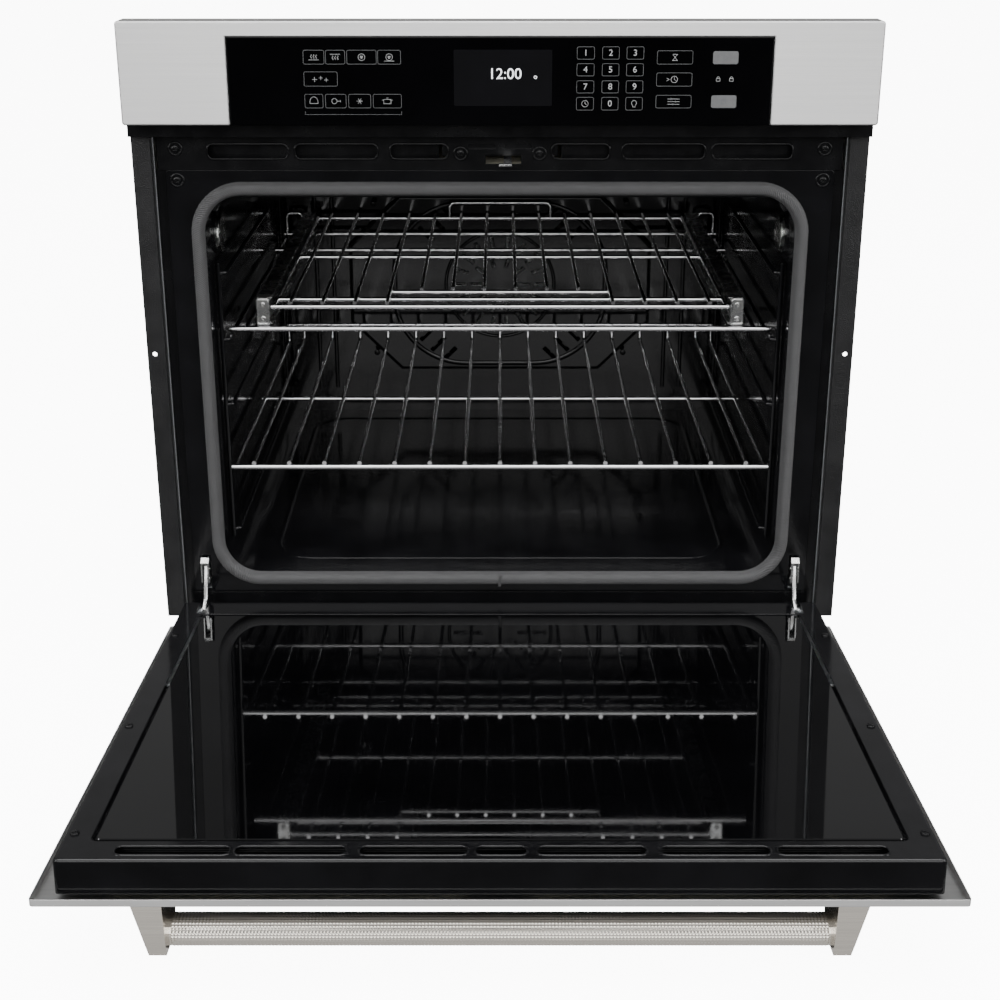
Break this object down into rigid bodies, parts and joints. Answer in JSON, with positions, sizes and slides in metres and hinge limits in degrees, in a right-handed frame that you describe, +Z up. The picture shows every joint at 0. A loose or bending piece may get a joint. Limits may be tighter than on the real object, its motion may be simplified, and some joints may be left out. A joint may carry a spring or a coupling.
{
  "type": "wall oven",
  "caption": "Built-in electric wall oven with a drop-down door, touch control panel, convection fan, a plain rack and a gliding rack, for a tall kitchen cabinet.",
  "frame": {"origin": "centre of the base pan's bottom face", "axes": "+X to the user's right, +Y into the cabinet, +Z up; the door is open at rest"},
  "size_m": [0.761, 1.1653, 0.7279],
  "materials": {
    "galvanised": "galvanised sheet",
    "satin_steel": "brushed satin",
    "black_flange": "satin black",
    "black_enamel": "gloss porcelain enamel",
    "black_trim": "satin black",
    "black_glass": "back-painted gloss",
    "clear_glass": "heat-reflective",
    "lamp_glass": "moulded",
    "chrome_wire": "bright wire",
    "zinc_steel": "zinc plated",
    "heater": "oxidised sheath",
    "gasket": "braided glass fibre",
    "wool": "mineral fibre",
    "handle": "warm satin",
    "plastic": "moulded",
    "board": "resist-coated board",
    "ceramic": "unglazed"
  },
  "bodies": {
    "oven_body": {"base_pan": "galvanised", "side_panel_left": "galvanised", "side_panel_right": "galvanised", "rear_panel": "galvanised", "top_cover": "galvanised", "lower_rail": "black_trim", "mounting_flange_left": "black_flange", "mounting_flange_right": "black_flange", "front_frame": "black_enamel", "vent_panel": "black_trim", "case_screws": "black_trim", "cavity_gasket": "gasket", "fascia": "satin_steel", "control_glass": "black_glass", "display_module": "plastic", "control_board": "board", "control_housing": "galvanised", "panel_trim_strip": "black_trim", "cavity_liner": "black_enamel", "insulation_blanket": "wool", "lamp_housings": "zinc_steel", "lamp_glasses": "lamp_glass", "lamp_bulbs": "lamp_glass", "temperature_probe": "zinc_steel", "broil_element": "heater", "bake_element": "heater", "convection_element": "heater", "convection_motor": "zinc_steel", "fan_cover": "black_enamel", "rack_guide_left": "black_enamel", "rack_guide_right": "black_enamel", "upper_rack_frame": "chrome_wire", "glides_outer": "zinc_steel", "latch_plate": "black_trim", "latch_motor": "zinc_steel", "blower_housing": "galvanised", "blower_motor": "zinc_steel", "cable_gland": "plastic", "terminal_block": "ceramic", "hinge_receivers": "galvanised", "hinge_arms": "zinc_steel"},
    "door": {"door_skin": "satin_steel", "door_outer_glass": "clear_glass", "door_middle_glass": "clear_glass", "door_inner_glass": "black_glass", "door_liner": "black_enamel", "door_insulation": "wool", "glass_retainers": "galvanised", "door_screws": "black_trim", "handle_bar": "handle", "handle_brackets": "handle", "hinge_bodies": "galvanised", "hinge_springs": "zinc_steel"},
    "lower_rack": {"lower_rack": "chrome_wire"},
    "upper_rack": {"upper_rack_grid": "chrome_wire", "glides_inner": "zinc_steel"},
    "glide_middles": {"glides_middle": "zinc_steel"},
    "convection_fan": {"convection_fan": "zinc_steel"},
    "blower_wheel": {"blower_wheel": "galvanised"},
    "latch_hook": {"latch_hook": "zinc_steel"}
  },
  "joints": [
    {"name": "door_hinge", "type": "hinge", "parent": "oven_body", "child": "door", "pos_m": [0, -0.321, 0.0322], "axis": [-1, 0, 0], "range_deg": [0, 85.5]},
    {"name": "lower_rack_slide", "type": "slide", "parent": "oven_body", "child": "lower_rack", "axis": [0, 1, 0], "range_m": [-0.35, 0]},
    {"name": "upper_rack_slide", "type": "slide", "parent": "oven_body", "child": "upper_rack", "axis": [0, 1, 0], "range_m": [-0.38, 0]},
    {"name": "glide_middle_slide", "type": "slide", "parent": "oven_body", "child": "glide_middles", "axis": [0, 1, 0], "range_m": [-0.19, 0]},
    {"name": "convection_fan_spin", "type": "hinge", "parent": "oven_body", "child": "convection_fan", "pos_m": [0, 0.25, 0.267], "axis": [0, 1, 0], "continuous": true},
    {"name": "blower_wheel_spin", "type": "hinge", "parent": "oven_body", "child": "blower_wheel", "pos_m": [0, 0.12, 0.55], "axis": [0, 0, 1], "continuous": true},
    {"name": "latch_hook_turn", "type": "hinge", "parent": "oven_body", "child": "latch_hook", "pos_m": [0.008, -0.253, 0.545], "axis": [0, 0, -1], "range_deg": [0, 18]}
  ],
  "couplings": [
    {"joint": "glide_middle_slide", "follows": "upper_rack_slide", "ratio": 0.5}
  ]
}
